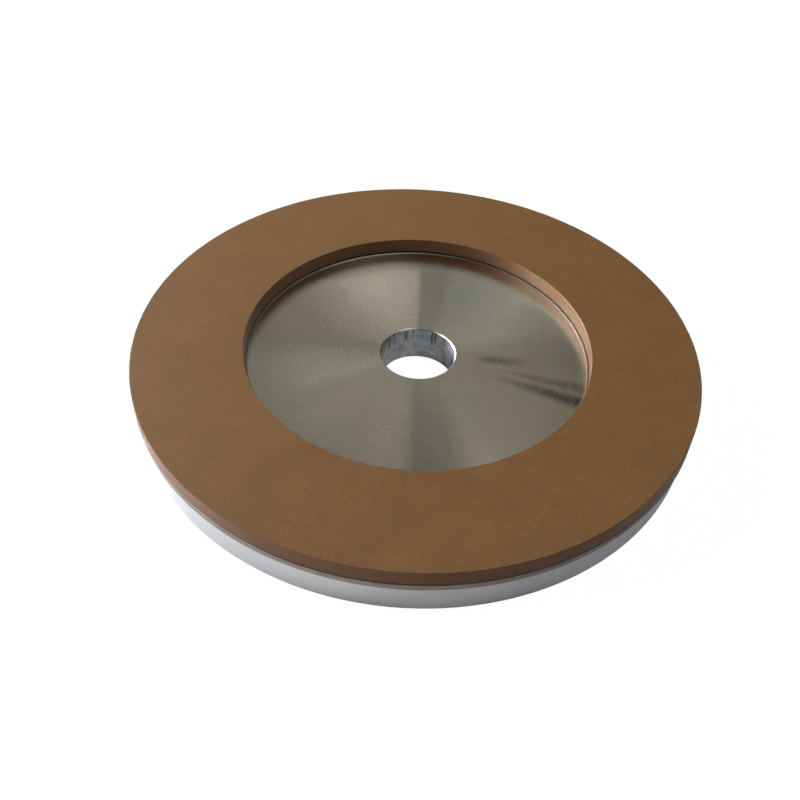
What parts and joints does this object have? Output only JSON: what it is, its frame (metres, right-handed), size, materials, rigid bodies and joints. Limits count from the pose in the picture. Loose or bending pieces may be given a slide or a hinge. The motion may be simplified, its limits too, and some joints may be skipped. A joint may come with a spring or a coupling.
{
  "type": "diamond grinding wheel",
  "caption": "Flat-faced grinding wheel: a wide ring of resin-bonded diamond abrasive on a turned aluminium disc with a recessed centre and a plain through bore.",
  "frame": {"origin": "centre of the back face, on the wheel axis", "axes": "+Z along the wheel axis, from the back face towards the abrasive working face; +X and +Y lie in the back face and are arbitrary, because the wheel is a body of revolution"},
  "size_m": [0.15, 0.15, 0.015],
  "materials": {
    "turned_aluminium": "bright turned, with fine concentric tool marks",
    "dark_adhesive": "cured dark epoxy",
    "diamond_resin": "matte brown with a very fine grain"
  },
  "bodies": {
    "root": {"core": "turned_aluminium", "adhesive_film": "dark_adhesive", "abrasive_ring": "diamond_resin"}
  },
  "joints": []
}
